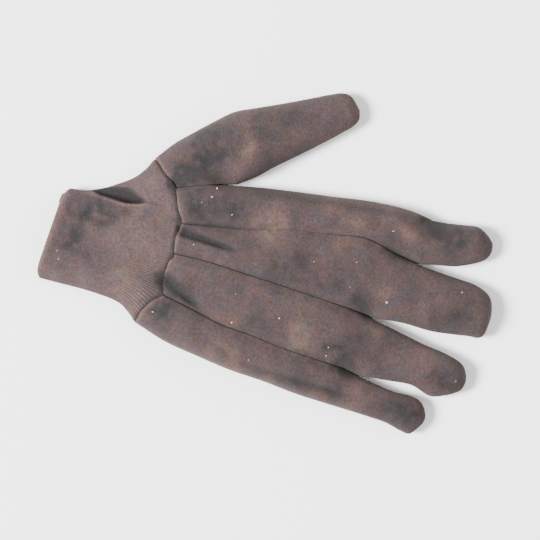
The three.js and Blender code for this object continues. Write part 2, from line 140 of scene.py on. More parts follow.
# How far the cloth rolls down into each seam: a tight line, open near the crotches
SEAM_ROLL = {
    "at": [0, 0.08, 0.25, 0.45, 0.62, 0.78, 0.92, 1],
    "index_side": [1.4, 0.15, 1.9, 2.4, 2, 2, 2, 2],
    "seam_1": [1.3, 0.8, 0.2, 0.06, 0.2, 0.8, 1.4, 2.6],
    "seam_2": [1, 0.7, 0.7, 0.6, 0.5, 0.6, 1.2, 2.6],
    "seam_3": [1.9, 1.4, 1, 0.6, 0.5, 0.6, 1.2, 2.6],
    "little_side": [1, 1, 1, 1, 1, 1, 1, 1],
}

# Painted shade beside each seam of the back: how much darker the cloth is drawn there
SEAM_SHADE = {
    "at": [0, 0.08, 0.25, 0.45, 0.62, 0.78, 0.92, 1],
    "seam_1": [0.7, 0.65, 0.5, 0.15, 0.15, 0.35, 0.4, 0.4],
    "seam_2": [0.45, 0.4, 0.35, 0.35, 0.3, 0.3, 0.45, 0.15],
    "seam_3": [0.5, 0.45, 0.4, 0.3, 0.2, 0.3, 0.35, 0.1],
}
SEAM_SHADE_REACH = 1.3

# The fingers: the lines of the hand that their two sides go on from, and how they lean and bulge
FINGERS = {row["name"]: row for row in table(
    "name left right length height lean bulge",
    ("index", "index_side", "seam_1", 38.5, 15.5, 0.123, 0.4),
    ("middle", "seam_1", "seam_2", 56.75, 17, -0.015, 1),
    ("ring", "seam_2", "seam_3", 61, 15.5, -0.072, 2),
    ("little", "seam_3", "little_side", 43.5, 14, -0.082, 2.5),
)}

# Their outlines: at is a share of the length, the others are shares of the root's width
FINGER_OUTLINE = {
    "at": [0, 0.25, 0.5, 0.7, 0.85, 0.94, 0.985, 1],
    "index_left": [0.5, 0.484, 0.496, 0.496, 0.374, 0.244, 0.15, 0],
    "index_right": [-0.5, -0.479, -0.456, -0.378, -0.285, -0.204, -0.096, 0],
    "middle_left": [0.5, 0.479, 0.462, 0.445, 0.382, 0.284, 0.132, 0],
    "middle_right": [-0.5, -0.458, -0.462, -0.418, -0.375, -0.355, -0.251, 0],
    "ring_left": [0.5, 0.444, 0.383, 0.359, 0.316, 0.241, 0.113, 0],
    "ring_right": [-0.5, -0.437, -0.371, -0.444, -0.337, -0.229, -0.133, 0],
    "little_left": [0.5, 0.457, 0.433, 0.471, 0.448, 0.31, 0.138, 0],
    "little_right": [-0.5, -0.481, -0.476, -0.543, -0.543, -0.295, -0.138, 0],
}

# The thumb's outer side at its root, then its free outline, in the thumb's own frame
THUMB_ROOT = {
    "at": [0, 0.33, 0.67, 1],
    "along": [-0.5, -0.335, -0.17, -0.017],
    "left": [0.24, 0.36, 0.43, 0.487],
    "crown": [0.76, 0.84, 0.92, 0.96],
}
THUMB = {
    "at": [0, 0.15, 0.3, 0.5, 0.7, 0.85, 0.93, 0.98, 1],
    "left": [0.487, 0.53, 0.488, 0.43, 0.38, 0.344, 0.305, 0.2, 0],
    "right": [-0.487, -0.463, -0.398, -0.341, -0.276, -0.22, -0.18, -0.11, 0],
    "crown": [0.96, 1, 0.97, 0.9, 0.82, 0.76, 0.72, 0.7, 0.7],
}

# The wrist from its opening to the wrist seam. rib is the height of a knitted rib.
WRIST = {
    "at": [0, 0.2, 0.4, 0.6, 0.8, 0.93, 1],
    "thumb_flare": [0, 0.04, 0.156, 0.327, 0.54, 0.78, 1],
    "little_flare": [0, 0, -0.01, 0.03, 0.18, 0.62, 1],
    "fold": [0, 0.3, 1, 1, 0.6, 0.1, 0],
    "crown": [1, 0.93, 0.88, 0.84, 0.79, 0.75, 0.75],
    "rib": [0.3, 0.17, 0.15, 0.22, 0.44, 0.54, 0.44],
}
RIBS = 120
RIB_FADE = 0.85  # how much less the ribs show on the thumb's side
RIB_FADE_PLACE = (-14, 17)
RIB_SHARPNESS, RIB_MIDDLE = 0.8, 0.6
RIB_OVER_RIM = (1.6, 3)  # where on the rim's half turn, in radians, the ribs begin
FULL_GROOVE = 0.4  # the rib height whose grooves get the most painted shade

# Creases on the back: from and to, half width, depth, and shade, the painted shade laid along the crease.
# A depth below 0 is a ridge, and a shade below 0 a painted highlight on it. fall is 2 for a soft crease
# and more for one with steep sides.
CREASES = table(
    "from_x from_y to_x to_y width depth shade fall",
    # The two pleats caught in the wrist seam
    (73, 21.4, 106, 18.6, 2.6, 5.5, 1.9, 3.2),
    (71, -8, 96, -19.5, 3.4, 4.6, 1.5, 2.3),
    # Hollows of the knit beside the wrist seam, with painted shade in them
    (60, 44, 69, 55, 3.4, 1.6, 1.3, 2),
    (69.5, 28, 71.5, 20, 1.4, 1, 0.6, 2),
    (67, -5, 70, -14, 3.6, 1, 0.9, 2),
    # Soft folds and ridges along the hand
    (76, 33, 104, 28, 5, 1.2, 0.2, 2),
    (104, 34, 150, 44, 7, -0.9, 0, 2),
    (148, 22, 178, 14, 5, 1.2, 0.1, 2),
    (95, -6, 140, -12, 6, -0.8, 0, 2),
    (96, -34, 130, -44, 5, 1, 0.1, 2),
    (128, -44.5, 198, -46.5, 3.4, 2.2, 0.6, 1.8),
    # Where the fingers part, with painted shade in the crotches
    (190, 42.5, 211, 38.8, 2, 0.8, 0.9, 1.8),
    (180, 8.5, 197, -0.5, 2.8, 1.2, 1, 1.8),
    (186, 4, 191.5, 1.6, 2, 0.6, 1.3, 2),
    (171, -22, 185, -18.5, 1.6, 1.6, 0.6, 1.5),
    (180, -28.5, 195, -35.5, 4, 1.5, 1.1, 1.8),
    (183.5, -30.6, 189, -32.8, 2, 0.5, 1.1, 2),
    # Bends of the fingers and dents in their tips
    (187, 62.5, 214, 49.5, 4, -1.7, -0.3, 1.8),
    (207, 66, 226, 57, 5.5, 2.7, 1.2, 2),
    (228, 8, 254, 19, 6.5, 2, 0.5, 2),
    (236, -20, 250, -25, 5, 1.6, 0.35, 2),
    # The thumb
    (76, 62, 92, 73, 4, 1.2, 0.3, 2),
    (84, 78, 112, 78, 7, -0.9, 0, 2),
    # Painted shade along the sides of the thumb and the index finger, where they turn down, with no depth
    (108, 64.5, 162, 110, 2.2, 0, 0.55, 2),
    (108, 54.5, 212, 65.5, 2.6, 0, 0.55, 2),
)
CREASE_BREADTH, CREASE_TAPER = 1.15, 0.6
CREASE_START, CREASE_END = (-0.15, 0.12), (0.6, 1.15)  # where a crease begins and dies away

# Small round hollows, with painted shade in them
PITS = table(
    "x y size depth shade",
    (213, 43, 3, 1.6, 0.2), (42, 24, 4, 1.2, 0.3), (88, 54.5, 5, 1.6, 0.3),
)

# The fold beside the thumb side of the wrist: where its front edge lies and how wide it opens
WRIST_FOLD = {
    "at": [14, 18, 22, 28.5, 37, 43, 50.5],
    "edge": [30.2, 29.9, 29.4, 29.1, 28.8, 29.9, 32.4],
    "open": [0, 2.4, 4.4, 7.4, 9.2, 6, 0],
}
FOLD_HEIGHT = 12
FOLD_SLOPE = 2
FOLD_FLOOR = 6.6  # its deepest place
FOLD_DROP = (-0.7, 0.9)  # where the cloth drops in, behind the front edge
FOLD_REACH = 0.7  # the share of the opening where it starts to rise again
FOLD_FULL = 4  # how wide the fold opens where it has its full depth
FOLD_LEAST = 0.01  # so that nothing is divided by 0 where it is closed
# Painted shadow inside the fold, and a painted highlight along its front edge
FOLD_SHADE = 1.05
FOLD_SHADE_START, FOLD_SHADE_END = (-0.3, 0.6), (-1, 0.3)
FOLD_SHADE_FULL = 1.5
FOLD_EDGE_HIGHLIGHT = 0.8
FOLD_EDGE_SETBACK, FOLD_EDGE_WIDTH = 1.2, 1.1
FOLD_EDGE_OPEN = 0.5  # the front edge gets its painted highlight where the fold opens wider than this

# Marks of colour, lighter above 0 and darker below 0: partly wear and the cloth's own blotches,
# and partly painted shade and painted highlights
WEAR_AND_SHADING = table(
    "x y size shade",
    # The wrist
    (6, -22, 4, 0.4), (10, 2, 6, -0.6), (12, 14, 13, -0.35), (15, 16, 6, -0.6), (20, -5, 9, -0.4),
    (22, 25, 8, -0.3), (25, 26, 4, -0.4), (27, -19, 6, 0.45), (29, 16, 4, -0.5), (33, 24, 5, -0.6),
    (37, 8, 6, 0.1), (42, 22, 8, 0.3), (46, -25, 6, 0.45), (50, 5, 12, 0.3), (50, 42, 8, 0.3),
    (50, -12, 5, 0.35), (50, -15, 7, 0.3), (51, -20, 8, 0.9), (57, -30, 7, 0.9), (58, 15, 9, 0.25),
    (60, -2, 7, 0.4), (62, 32, 6, 0.4), (67, -9, 4, -0.8),
    # The thumb
    (58, 51, 4, -0.35), (61, 55, 5, -0.35), (64, 54, 6, -0.6), (67, 79, 5, -0.3), (75, 58, 9, -0.55),
    (77, 71, 13, -0.7), (78, 88, 9, -0.35), (84, 66, 6, -0.3), (86, 51, 4, 0.35), (93, 90, 5, 0.2),
    (94, 64, 5, 0.4), (97, 78, 5, -0.35), (98, 81, 5, 0.8), (100, 77, 5, 0.7), (101, 101, 5, -0.35),
    (108, 88, 6, -0.4), (114, 102, 8, -0.5), (117, 76, 6, -0.35), (150, 116, 5, 0.55),
    # The index finger and its side of the hand
    (75, 38, 5, -0.4), (80, 38, 11, -0.6), (95, 42, 8, -0.4), (100, 37, 6, -0.5), (106, 44, 6, -0.3),
    (122, 45, 6, 0.5), (123, 45, 6, 0.4), (124, 38, 6, 0.6), (155, 59, 6, 0.5), (170, 52, 6, 0.5),
    (192, 50, 6, -0.35), (201, 55, 4, 0.7), (210, 41, 4, 0.3), (217, 52, 5, 0.4), (219, 57, 6, -0.35),
    (226, 59, 10, -0.7),
    # The middle finger's strip
    (106, 22, 8, -0.3), (126, 30, 6, 0.6), (135, 18, 11, -0.65), (154, 7, 7, -0.4), (164, 16, 9, -0.5),
    (164, 39, 6, 0.5), (184, 8, 5, -0.8), (193, 18, 6, 0.5), (211, 24, 8, -0.4), (222, 20, 6, 0.2),
    (245, 18, 9, -0.35),
    # The ring finger's strip
    (84, -11, 6, -0.6), (112, -19, 5, 0.4), (126, -19, 5, -0.4), (140, -20, 6, -0.4), (151, -18, 6, 0.7),
    (152, 2, 6, 0.3), (157, -24, 5, 0.7), (181, -17, 7, -0.5), (186, -27, 6, -0.8), (190, -13, 4, -0.5),
    (196, -29, 4, 0.4), (197, -5, 6, 0.6), (197, -2, 4, 0.4), (198, -20, 8, -0.3), (207, -9, 6, -0.5),
    (230, -12, 6, 0.4), (236, -9, 6, 0.3), (246, -25, 10, -0.55),
    # The little finger and its side of the hand
    (70, -26, 8, -0.6), (73, -25, 7, -0.5), (88, -42, 4, 0.35), (98, -23, 7, -0.3), (107, -45.5, 4, 0.4),
    (110, -36, 7, 0.3), (121, -42, 6, 0.3), (122, -47, 6, 0.4), (127, -48.5, 4, 0.4), (147, -50, 4, 0.4),
    (161, -48, 6, -0.4), (168, -34, 7, -0.5), (170, -51, 6, 0.4), (181, -37, 5, 0.3), (183, -46, 6, -0.6),
    (190, -53, 4, 0.35), (195, -46, 7, 0.4), (198, -36, 4, 0.35), (221, -48, 10, -0.75),
    (229, -47, 6, -0.4),
)

# How the marks of wear and painted shading spread and wander, and where they end above the floor
WEAR_AND_SHADING_SPREAD = 1.1
WEAR_AND_SHADING_WANDER, WEAR_AND_SHADING_WANDER_SIZE = 5, 11
WEAR_AND_SHADING_MOTTLE, WEAR_AND_SHADING_MOTTLE_SIZE = 0.9, 4
WEAR_AND_SHADING_LOWEST = (3, 6)
# A painted highlight along the rim of the wrist's opening
RIM_HIGHLIGHT = 1.7
RIM_HIGHLIGHT_SETBACK, RIM_HIGHLIGHT_WIDTH = 1.5, 3
WRIST_SEAM_SHADE_WIDTH = 1.2  # painted shade on the knit, beside the wrist seam
WRIST_SEAM_HIGHLIGHT, WRIST_SEAM_HIGHLIGHT_WIDTH = 1.2, 2  # a painted highlight on the jersey's rolled edge
WRIST_SEAM_REACH = 9  # no mark of the wrist seam reaches as far
CORNERS_AT_A_TIME = 20000

# White lint on the cloth
LINT = table(
    "x y size",
    (86.5, 50.5, 0.55), (85, 45, 0.5), (80, 40.5, 0.3), (99, 38, 0.4), (82, 15.5, 0.4), (138, 62, 0.4),
    (176, 30, 0.35), (152, 24, 0.3), (176, 15, 0.3), (199, 12, 0.5), (192, 53, 0.45), (240, 29, 0.3),
    (202, 42, 0.35), (69, -28.5, 0.45), (113, -6, 0.3), (141, -13, 0.3), (173, -22, 0.45),
    (173, -27, 0.4), (187, -32, 0.5), (115, -22.5, 0.4), (130, -41, 0.3), (250, -22, 0.3), (38, 18, 0.3),
    (6, -8.5, 0.35), (8, -13, 0.3),
)
LINT_BULK = 0.85
LINT_FLATNESS = 0.5
LINT_UNEVENNESS = 0.3
LINT_GRAIN = 2500
LINT_TURN = 2.4
LINT_SEED = 1
ABOVE_GLOVE = 100

# How finely the cloth is laid
CLOTH_STEP = 0.95
WRIST_TURN = [0, 0.35, 0.8, 1.4, 2.1, 3.0]  # the close rows where a strip turns into the wrist seam
TIP_ROWS = 16
BACK_COLUMNS = 44
PALM_COLUMNS = 20
CROWDING = 0.82  # 0 spaces columns evenly, 1 crowds them most at both edges
SPAN_POINTS = 24
RING_COLUMNS = 400
POINTS_PER_RIB = 6
OUTER_ROWS = 58
INNER_ROWS = 18
RIM_ROWS = 6
WELD = 0.01 * MM
SMALLEST = 1e-6


def mix(a, b, share):
    return a + (b - a) * share


def smooth(x, low, high):
    t = np.clip((x - low) / (high - low), 0, 1)
    return t * t * (3 - 2 * t)


def curve(chart, column, at):
    """A chart's column at any place, on a smooth curve through its rows."""
    x, y = np.array(chart["at"], float), np.array(chart[column], float)
    rows = np.arange(len(x))
    before, after = np.maximum(rows - 1, 0), np.minimum(rows + 1, len(x) - 1)
    slope = (y[after] - y[before]) / (x[after] - x[before])
    k = np.clip(np.searchsorted(x, at), 1, len(x) - 1)
    span = x[k] - x[k - 1]
    t = np.clip((at - x[k - 1]) / span, 0, 1)
    return (
        (2 * t**3 - 3 * t**2 + 1) * y[k - 1]
        + (t**3 - 2 * t**2 + t) * span * slope[k - 1]
        + (3 * t**2 - 2 * t**3) * y[k]
        + (t**3 - t**2) * span * slope[k]
    )


def curve_at(chart, column, at):
    return curve(chart, column, np.clip(at, chart["at"][0], chart["at"][-1]))


def rounded(distance, radius):
    """0 at an edge, with an upright start, and 1 from radius inwards."""
    return (1 - (1 - np.clip(distance / radius, 0, 1)) ** ROUNDNESS) ** (1 / ROUNDNESS)


def tuck(distance, radius):
    """How far cloth has rolled down, at a distance from the seam that it turns into."""
    left = np.clip(radius - distance, 0, None)
    return radius - np.sqrt(radius**2 - left**2)


def plan(x, y):
    return np.stack(np.broadcast_arrays(np.asarray(x, float), np.asarray(y, float)), axis=-1)


def border(name, at):
    """A point on one of the lines that divide the hand."""
    start = WRIST_LENGTH - SEAM_SETBACK.get(name, 0)
    end = WRIST_LENGTH + HAND_LENGTH + CROTCH_ADVANCE.get(name, 0)
    return plan(mix(start, end, at), HAND_WIDTH * curve(HAND, name, at))


def freedom(name, at):
    """0 where a side of the hand is sewn to its neighbour, 1 where it is a free edge."""
    if name == "little_side":
        return np.ones_like(at)
    if name == "index_side":
        return smooth(at, THUMB_SEAM / 2, THUMB_SEAM)
    return smooth(at, PARTING_START, 1)


class FingerStrip:
    """A finger with its part of the hand: s is 0 at the wrist seam, 1 at the root, 2 at the tip."""

    def __init__(self, name):
        finger = FINGERS[name]
        self.name, self.lines = name, {1: finger["left"], -1: finger["right"]}
        self.length, self.root_length = finger["length"], HAND_LENGTH
        self.tip_height, self.bulge = finger["height"], finger["bulge"]
        self.root_edges = {
            side: border(line, np.array([1.0]))[0] - (0, side * CROTCH_GAP / 2 * (line != "little_side"))
            for side, line in self.lines.items()
        }
        self.root = (self.root_edges[1] + self.root_edges[-1]) / 2
        self.width = self.root_edges[1][1] - self.root_edges[-1][1]
        self.tip = self.root + self.length * np.array([1, finger["lean"]])

    def edge(self, side, s, inset):
        line = self.lines[side]
        hand = border(line, np.minimum(s, 1))
        if line != "little_side":
            hand[:, 1] -= side * inset * np.minimum(self.roll(side, s), 1)
        at = np.clip(s - 1, 0, 1)
        share = curve(FINGER_OUTLINE, self.name + ("_left" if side > 0 else "_right"), at)
        finger = plan(
            mix(self.root_edges[side][0], self.tip[0], at),
            mix(self.root[1], self.tip[1], at) + self.width * share,
        )
        return np.where((s < 1)[:, None], hand, finger)

    def height(self, s):
        hand = HAND_HEIGHT * curve(HAND, "crown", np.minimum(s, 1))
        return mix(hand, self.tip_height, smooth(s, *CROWN_CHANGE))

    def free(self, side, s):
        return freedom(self.lines[side], np.minimum(s, 1))

    def roll(self, side, s):
        return curve(SEAM_ROLL, self.lines[side], np.minimum(s, 1))


class ThumbStrip:
    """The thumb: s is 0 at the wrist seam, 1 at its crotch, 2 at its tip."""

    name, bulge, length = "thumb", 0, THUMB_LENGTH
    root_length = -THUMB_LENGTH * THUMB_ROOT["along"][0]

    def __init__(self):
        self.along = np.array([math.cos(THUMB_ANGLE), math.sin(THUMB_ANGLE)])
        self.out = np.array([-self.along[1], self.along[0]])
        crotch = border("index_side", np.array([THUMB_SEAM]))[0]
        self.root = crotch + self.out * THUMB_WIDTH * THUMB["left"][0]
        self.width = THUMB_WIDTH

    def at(self, share, sideways):
        share, sideways = np.broadcast_arrays(share, sideways)
        along = np.outer(THUMB_LENGTH * share, self.along)
        return self.root + along + np.outer(THUMB_WIDTH * sideways, self.out)

    def edge(self, side, s, inset):
        root = np.minimum(s, 1)
        if side > 0:
            sewn = self.at(curve(THUMB_ROOT, "along", root), curve(THUMB_ROOT, "left", root))
        else:
            sewn = border("index_side", THUMB_SEAM * root)
            sewn[:, 1] += mix(inset, CROTCH_GAP, smooth(root, *THUMB_PARTING))
        at = np.clip(s - 1, 0, 1)
        column = "left" if side > 0 else "right"
        step = (sewn - self.at(0, THUMB[column][0])) * (1 - smooth(s, *THUMB_BLEND))[:, None]
        free = self.at(at, curve(THUMB, column, at)) + step
        return np.where((s < 1)[:, None], sewn, free)

    def height(self, s):
        root = curve(THUMB_ROOT, "crown", np.minimum(s, 1))
        free = curve(THUMB, "crown", np.clip(s - 1, 0, 1))
        return THUMB_HEIGHT * np.where(s < 1, root, free)

    def free(self, side, s):
        return np.ones_like(s) if side > 0 else smooth(s, *THUMB_PARTING)

    def roll(self, side, s):
        return curve(SEAM_ROLL, "index_side", THUMB_SEAM * np.minimum(s, 1))


STRIPS = {name: FingerStrip(name) for name in FINGERS}
STRIPS["thumb"] = ThumbStrip()


def wrist_bulge(strip, s, across):
    return strip.bulge * (1 - across**2) * (1 - smooth(s, 0, BULGE_REACH))


def relief(x, y, column):
    """How deep the creases and pits are at a place in the plan, or how much painted shade they get, by the
    column.
    """
    total = np.zeros_like(x)
    for crease in CREASES:
        run = np.array([crease["to_x"] - crease["from_x"], crease["to_y"] - crease["from_y"]], float)
        length = np.hypot(*run)
        run /= length
        from_x, from_y = x - crease["from_x"], y - crease["from_y"]
        along = (from_x * run[0] + from_y * run[1]) / length
        half_width = crease["width"] * (CREASE_BREADTH - CREASE_TAPER * np.clip(along, 0, 1))
        off = (from_y * run[0] - from_x * run[1]) / half_width
        ends = smooth(along, *CREASE_START) * (1 - smooth(along, *CREASE_END))
        total += crease[column] * ends * np.exp(-np.abs(off) ** crease["fall"])
    for pit in PITS:
        total += pit[column] * np.exp(-((x - pit["x"]) ** 2 + (y - pit["y"]) ** 2) / pit["size"] ** 2)
    return total


def waves(x, y, size, seed):
    """Smooth random swells of about a size, from -1 to 1."""
    return np.array([noise.noise(Vector((a / size, b / size, seed))) for a, b in zip(x, y)])


def swell(x, y, swells):
    return sum(row["height"] * waves(x, y, row["size"], row["seed"]) for row in swells)


def pucker(along, length, seed):
    """The irregular gathers that a line of stitches draws up, from 0 to 1."""
    drift = sum(
        wave["share"] * np.sin(along / (wave["length"] * length) + wave["turn"] * seed)
        for wave in PUCKER_DRIFT
    )
    return 0.5 + 0.5 * np.sin(2 * np.pi * along / length + PUCKER_UNEVENNESS * drift + seed)


def strip_cloth(strip, face, s, across, inset):
    """Places on a strip's cloth in millimetres. face is 1 on the back and -1 on the palm."""
    left, right = strip.edge(1, s, inset[1]), strip.edge(-1, s, inset[-1])
    centre, half = (left + right) / 2, (left - right) / 2
    half_width = np.linalg.norm(half, axis=1)
    place = centre + half * across[:, None]
    place[:, 0] -= wrist_bulge(strip, s, across)
    distance = {1: (1 - across) * half_width, -1: (1 + across) * half_width}
    free = {side: strip.free(side, s) for side in (1, -1)}
    tip_distance = np.where(s > 1, (2 - s) * strip.length, strip.length)
    from_wrist = s * strip.root_length
    radius, valley = (BACK_ROUNDING, SEAM_VALLEY) if face > 0 else (PALM_ROUNDING, 0)
    fill = rounded(tip_distance, TIP_ROUNDING)
    for side in (1, -1):
        dip = 1 - valley * np.exp(-((distance[side] / SEAM_VALLEY_WIDTH) ** 2))
        fill = fill * mix(dip, rounded(distance[side], radius), free[side])
    if face < 0:
        z = PARTING_HEIGHT * (1 - fill) + tuck(from_wrist, WRIST_ROLL) * fill
        return np.column_stack([place, z])

    rise = (strip.height(s) - PARTING_HEIGHT) * fill
    rise *= 1 - WRIST_SEAM_DIP * np.exp(-from_wrist / WRIST_SEAM_DIP_LENGTH)
    x, y = place.T
    lower = relief(x, y, "depth") - swell(x, y, HAND_SWELLS)
    for side in (1, -1):
        sewn = 1 - free[side]
        seed = 1.7 * side + len(strip.name)  # no two seams are gathered alike
        gather = SEAM_PUCKER * pucker(from_wrist, SEAM_PUCKER_LENGTH, seed)
        lower += sewn * gather * np.exp(-distance[side] / SEAM_PUCKER_REACH)
    gather = WRIST_PUCKER * pucker(y, WRIST_PUCKER_LENGTH, seed=0.6)
    lower += gather * np.exp(-from_wrist / WRIST_PUCKER_REACH)
    rise -= np.minimum(lower, HAND_DEEPEST * rise) * smooth(rise, *HAND_LOOSE)
    turned = tuck(from_wrist, WRIST_ROLL) + FLANGE * (s == 0)
    for side in (1, -1):
        sewn = 1 - free[side]
        radius = strip.roll(side, s)
        rolled = tuck(distance[side], radius) + FLANGE * np.minimum(radius / TIGHT_ROLL, 1) * (across == side)
        turned = np.maximum(turned, sewn * rolled)
    rise -= np.minimum(turned, DEEPEST_ROLL * rise)
    return np.column_stack([place, PARTING_HEIGHT + rise])


def side_seam(strip, places, across, s):
    """Draws a finger's sides in to the seam between its back and its palm."""
    left, right = strip.edge(1, s, 0), strip.edge(-1, s, 0)
    centre = (left + right) / 2
    out = places[:, :2] - centre
    reach = np.maximum(np.linalg.norm(out, axis=1), SMALLEST)
    pull = tuck(np.abs(places[:, 2] - PARTING_HEIGHT), SIDE_SEAM_ROLL) * np.abs(across) ** SIDE_SEAM_FOCUS
    pull *= smooth(s, *SIDE_SEAM_START)
    pull = np.minimum(pull, reach * SIDE_SEAM_LIMIT)
    places[:, :2] -= out / reach[:, None] * pull[:, None]


def rows_along(strip):
    """Places along a strip, close together where it turns into the wrist seam and at the tip."""
    turn = np.array(WRIST_TURN) / strip.root_length
    hand = np.linspace(turn[-1], 1, round(strip.root_length / CLOTH_STEP))[1:]
    tip = TIP_ROUNDING / strip.length
    finger = np.linspace(1, 2 - tip, round(strip.length * (1 - tip) / CLOTH_STEP))[1:]
    end = 2 - tip * (1 - np.sin(np.linspace(0, np.pi / 2, TIP_ROWS)))[1:]
    return np.concatenate([turn, hand, finger, end])


def columns_across(count):
    """Places across a strip, from its left edge to its right, close together near both."""
    even = np.linspace(1, -1, count + 1)
    return mix(even, np.sin(even * np.pi / 2), CROWDING)


def deselect():
    bpy.ops.object.select_all(action="DESELECT")


def grid_cloth(name, columns, rows):
    """A flat cloth of a number of quads, and each of its corners' place across and along, 0 to 1."""
    deselect()
    bpy.ops.mesh.primitive_grid_add(x_subdivisions=columns, y_subdivisions=rows, size=1)
    cloth = bpy.context.object
    cloth.name = cloth.data.name = name
    flat = np.empty(len(cloth.data.vertices) * 3)
    cloth.data.vertices.foreach_get("co", flat)
    across, along = flat.reshape(-1, 3)[:, :2].T + 0.5
    return cloth, across, along


def lay(cloth, places, weave):
    """Moves a cloth's corners to places in millimetres. weave is their place on the flat cloth."""
    origin = np.array([*OUTLINE_MIDDLE, 0])
    cloth.data.vertices.foreach_set("co", ((places - origin) * MM).ravel())
    corner = np.empty(len(cloth.data.loops), dtype=int)
    cloth.data.loops.foreach_get("vertex_index", corner)
    cloth.data.uv_layers[0].data.foreach_set("uv", (weave[corner] * MM).ravel())
    cloth.data.update()


def edit_all(change, **settings):
    """Runs one of edit mode's operators on all of the active cloth."""
    bpy.ops.object.mode_set(mode="EDIT")
    bpy.ops.mesh.select_all(action="SELECT")
    change(**settings)
    bpy.ops.object.mode_set(mode="OBJECT")


def strip_panel(strip_name, face, insets=(SEAM_INSET, SEAM_INSET), side_seams=False):
    """One face of a strip. insets are how far its left and right edges lie inside their lines."""
    strip = STRIPS[strip_name]
    side, count = ("back", BACK_COLUMNS) if face > 0 else ("palm", PALM_COLUMNS)
    rows, columns = rows_along(strip), columns_across(count)
    cloth, u, v = grid_cloth(f"{strip_name}_{side}", len(columns) - 1, len(rows) - 1)
    s = np.interp(v, np.linspace(0, 1, len(rows)), rows)
    across = np.interp(u, np.linspace(0, 1, len(columns)), columns)
    places = strip_cloth(strip, face, s, across, {1: insets[0], -1: insets[1]})
    if side_seams:
        side_seam(strip, places, across, s)
    along = np.where(s < 1, s * strip.root_length, strip.root_length + (s - 1) * strip.length)
    lay(cloth, places, np.column_stack([across * strip.width / 2, along]))
    if face < 0:
        edit_all(bpy.ops.mesh.flip_normals)
    return cloth


def sew_together(name, panels):
    """Joins panels of one cloth into a piece, and closes the edges that they share."""
    deselect()
    for panel in panels:
        panel.select_set(True)
    bpy.context.view_layer.objects.active = panels[0]
    if len(panels) > 1:
        bpy.ops.object.join()
    piece = bpy.context.object
    piece.name = piece.data.name = name
    edit_all(bpy.ops.mesh.remove_doubles, threshold=WELD)
    return piece


def thicken(piece, thickness):
    """Gives a cloth its thickness on the inside."""
    deselect()
    piece.select_set(True)
    bpy.context.view_layer.objects.active = piece
    wall = piece.modifiers.new("wall", "SOLIDIFY")
    wall.thickness = thickness * MM
    wall.offset = -1
    bpy.ops.object.modifier_apply(modifier=wall.name)
    bpy.ops.object.shade_smooth()


def seam_shade(x, y):
    """The painted shade beside the seams of the back."""
    total = np.zeros_like(x)
    for name in ("seam_1", "seam_2", "seam_3"):
        ends = border(name, np.array([0.0, 1.0]))[:, 0]
        at = (x - ends[0]) / (ends[1] - ends[0])
        off = (y - border(name, np.clip(at, 0, 1))[:, 1]) / SEAM_SHADE_REACH
        total += curve_at(SEAM_SHADE, name, at) * np.exp(-off**2) * (at > 0) * (at < 1)
    return total


def fold_shadow_and_highlight(x, y):
    """The painted shadow inside the wrist's fold, and the painted highlight along its front edge."""
    behind, opened = behind_fold(x, y)
    shadow = smooth(behind, *FOLD_SHADE_START) * (1 - smooth(behind - opened, *FOLD_SHADE_END))
    shadow *= np.minimum(opened / FOLD_SHADE_FULL, 1)
    edge = np.exp(-(((behind + FOLD_EDGE_SETBACK) / FOLD_EDGE_WIDTH) ** 2)) * (opened > FOLD_EDGE_OPEN)
    return FOLD_EDGE_HIGHLIGHT * edge - FOLD_SHADE * shadow


# A painted highlight along the rim of the wrist's opening
def rim_highlight(x, y):
    from_rim = x + RIM_HIGHLIGHT_SETBACK - OPENING_SKEW * y / WRIST_WIDTH
    return RIM_HIGHLIGHT * np.exp(-((from_rim / RIM_HIGHLIGHT_WIDTH) ** 2))


def from_wrist_seam(x, y):
    """How far each place is from the wrist seam, where that is less than WRIST_SEAM_REACH."""
    line_x, line_y = WRIST_SEAM_LINE.T
    distance = np.full(len(x), float(WRIST_SEAM_REACH))
    near = np.flatnonzero((x > line_x.min() - WRIST_SEAM_REACH) & (x < line_x.max() + WRIST_SEAM_REACH))
    for start in range(0, len(near), CORNERS_AT_A_TIME):
        part = near[start:start + CORNERS_AT_A_TIME]
        distance[part] = np.hypot(x[part, None] - line_x, y[part, None] - line_y).min(axis=1)
    return distance


